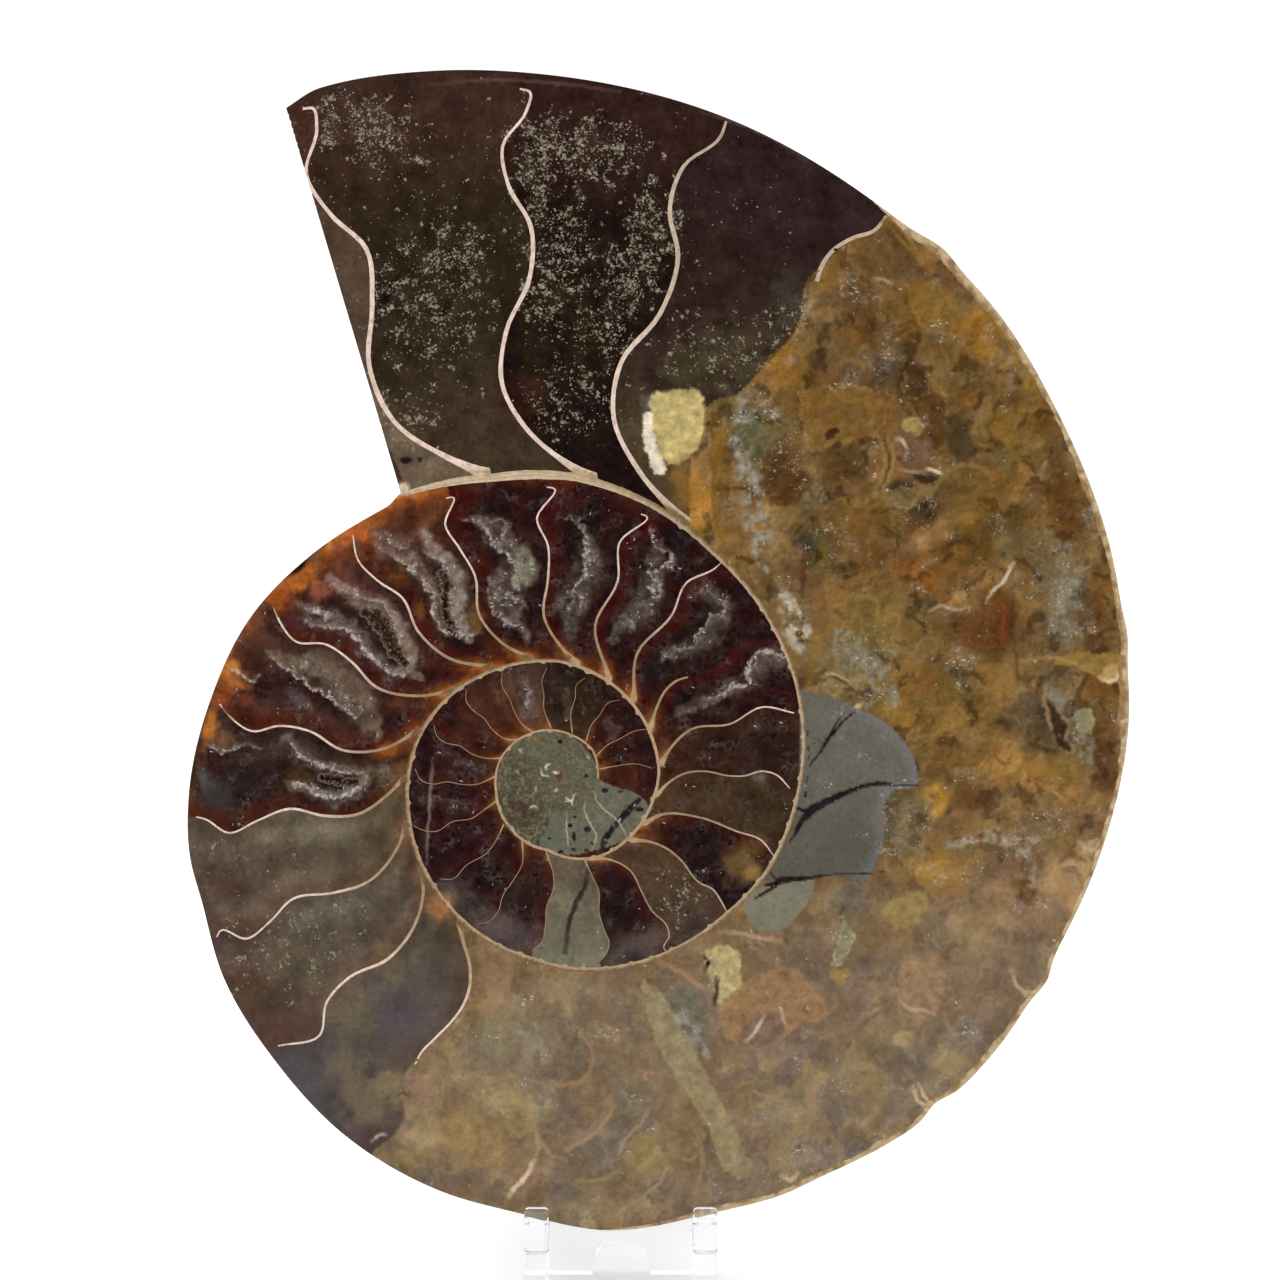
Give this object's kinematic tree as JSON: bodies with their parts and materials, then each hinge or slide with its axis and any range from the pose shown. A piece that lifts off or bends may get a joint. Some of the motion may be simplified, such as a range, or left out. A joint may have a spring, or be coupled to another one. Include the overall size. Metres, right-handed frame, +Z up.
{
  "type": "ammonite fossil half on easel",
  "caption": "Sawn and polished half of a coiled ammonite, flat cut face in front and ribbed coil behind, standing on a clear moulded easel.",
  "frame": {"origin": "middle of the bounding box on the plane that the easel stands on", "axes": "+Z up, +X to the right of the cut face as seen from the front, +Y from the cut face to the back"},
  "size_m": [0.16, 0.077, 0.2064],
  "materials": {
    "polished_fossil": "polished cut face, dull ribbed back",
    "calcite_druse": "small glittering crystals",
    "clear_plastic": "clear, glossy, moulded"
  },
  "bodies": {
    "root": {"ammonite_half": "polished_fossil", "crystal_lining_upper": "calcite_druse", "crystal_lining_middle": "calcite_druse", "crystal_lining_lower": "calcite_druse", "easel": "clear_plastic"}
  },
  "joints": []
}
